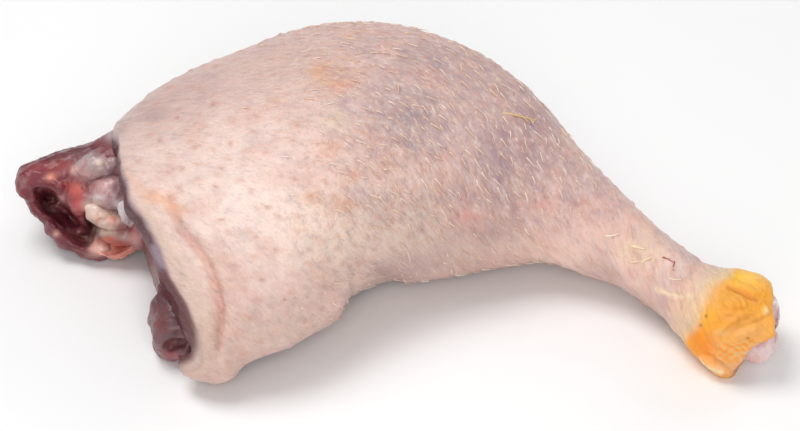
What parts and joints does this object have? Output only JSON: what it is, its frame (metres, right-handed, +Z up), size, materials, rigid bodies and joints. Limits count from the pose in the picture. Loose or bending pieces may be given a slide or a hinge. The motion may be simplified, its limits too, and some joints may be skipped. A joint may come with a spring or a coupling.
{
  "type": "raw duck leg",
  "caption": "Raw duck leg with thigh and drumstick in one piece, pimpled pale skin up, cut hip end open, yellow skin round the cut ankle joint.",
  "frame": {"origin": "centre of the bounding box's underside, on the table the leg lies on", "axes": "+X along the whole leg from the cut hip end to the ankle, -Y towards the side the drumstick bends to, +Z up out of the skin side"},
  "size_m": [0.2122, 0.1256, 0.0583],
  "materials": {
    "skin": "moist, raw",
    "meat": "moist, raw",
    "cartilage": "wet and glossy",
    "capsule": "wet and glossy",
    "fat": "moist",
    "sinew": "wet and glossy",
    "membrane": "wet",
    "bone": "moist"
  },
  "bodies": {
    "root": {"skin": "skin", "meat": "meat", "hip_knuckle": "cartilage", "joint_capsule": "capsule", "fat_lobe": "fat", "sinew": "sinew", "torn_membrane": "membrane", "shank_bone": "bone"}
  },
  "joints": []
}
